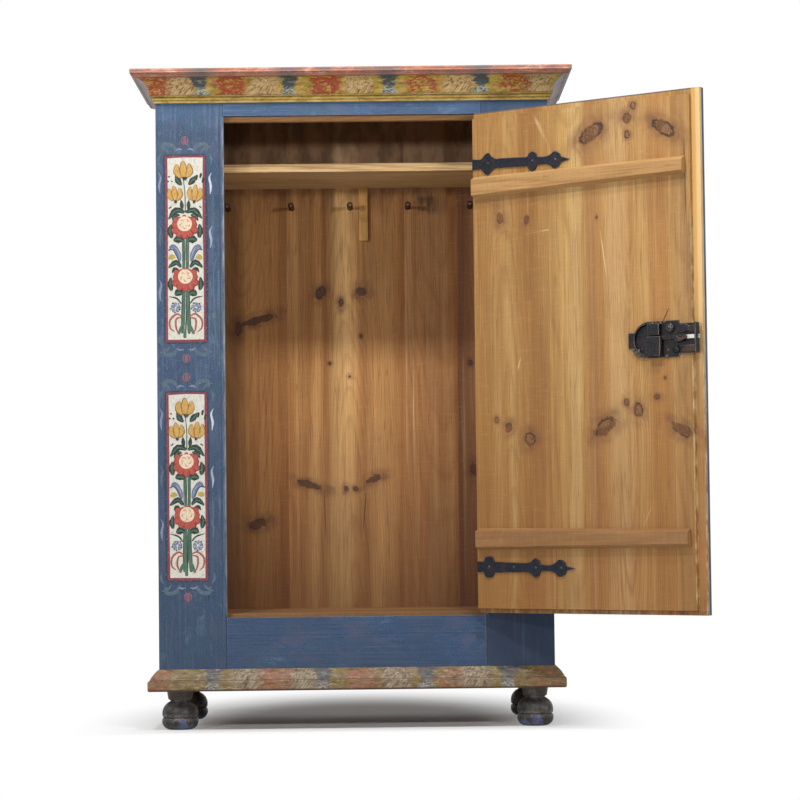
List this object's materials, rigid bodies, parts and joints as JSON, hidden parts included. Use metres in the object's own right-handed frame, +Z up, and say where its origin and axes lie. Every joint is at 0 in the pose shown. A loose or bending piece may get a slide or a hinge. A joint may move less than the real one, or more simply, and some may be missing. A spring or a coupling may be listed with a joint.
{
  "type": "one-door wardrobe cupboard",
  "caption": "Painted pine wardrobe cupboard on turned bun feet, with a moulded cornice and plinth, an inset plank door on strap hinges, a box lock, a hat shelf and clothes pegs.",
  "frame": {"origin": "on the floor, under the middle of the case's front face", "axes": "+X to the right as seen from the front, +Y towards the back, +Z up"},
  "size_m": [1.5005, 0.9335, 1.779],
  "materials": {
    "blue_paint": "worn matt blue paint on pine",
    "bare_pine": "bare aged pine",
    "door_pine": "bare aged pine inside, blue paint outside",
    "turned_peg": "dark turned hardwood",
    "marbled_paint": "brushed marbled paint in yellow, red and blue",
    "foot_paint": "dark blue-grey paint",
    "wrought_iron": "hand-forged blackened iron",
    "filed_iron": "iron rubbed bright at the tip"
  },
  "bodies": {
    "case": {"side_board_left": "blue_paint", "side_board_right": "blue_paint", "front_stile_left": "blue_paint", "front_stile_right": "blue_paint", "frieze_rail": "blue_paint", "bottom_rail": "blue_paint", "top_board": "bare_pine", "floor_board": "bare_pine", "back_board_1": "bare_pine", "back_board_2": "bare_pine", "back_board_3": "bare_pine", "back_board_4": "bare_pine", "floor_cleat_left": "bare_pine", "floor_cleat_right": "bare_pine", "hat_shelf": "bare_pine", "shelf_cleat_left": "bare_pine", "shelf_cleat_right": "bare_pine", "shelf_prop": "bare_pine", "door_stop_strip": "bare_pine", "clothes_pegs": "turned_peg", "cornice_front": "marbled_paint", "cornice_left": "marbled_paint", "cornice_right": "marbled_paint", "plinth_front": "marbled_paint", "plinth_left": "marbled_paint", "plinth_right": "marbled_paint", "base_runner_left": "bare_pine", "base_runner_right": "bare_pine", "base_rail_front": "bare_pine", "foot_front_left": "foot_paint", "foot_front_right": "foot_paint", "foot_rear_left": "foot_paint", "foot_rear_right": "foot_paint", "hinge_pintle_upper": "wrought_iron", "hinge_pintle_lower": "wrought_iron", "pintle_nails": "wrought_iron", "bolt_keeper": "wrought_iron"},
    "door": {"door_board_1": "door_pine", "door_board_2": "door_pine", "door_board_3": "door_pine", "door_board_4": "door_pine", "door_batten_upper": "door_pine", "door_batten_lower": "door_pine", "strap_hinge_upper": "wrought_iron", "strap_hinge_lower": "wrought_iron", "strap_nails_upper": "wrought_iron", "strap_nails_lower": "wrought_iron", "lock_plate": "wrought_iron", "lock_bridge": "wrought_iron", "lock_tumbler_box": "wrought_iron", "lock_spring": "wrought_iron", "lock_screws": "wrought_iron", "lock_escutcheon": "wrought_iron"},
    "lock_bolt": {"lock_bolt": "filed_iron"}
  },
  "joints": [
    {"name": "door_swing", "type": "hinge", "parent": "case", "child": "door", "pos_m": [0.347, -0.0065, 0.971], "axis": [0, 0, 1], "range_deg": [-144.4, 30]},
    {"name": "bolt_slide", "type": "slide", "parent": "door", "child": "lock_bolt", "axis": [0.8131, -0.5821, 0], "range_m": [0, 0.016]}
  ]
}
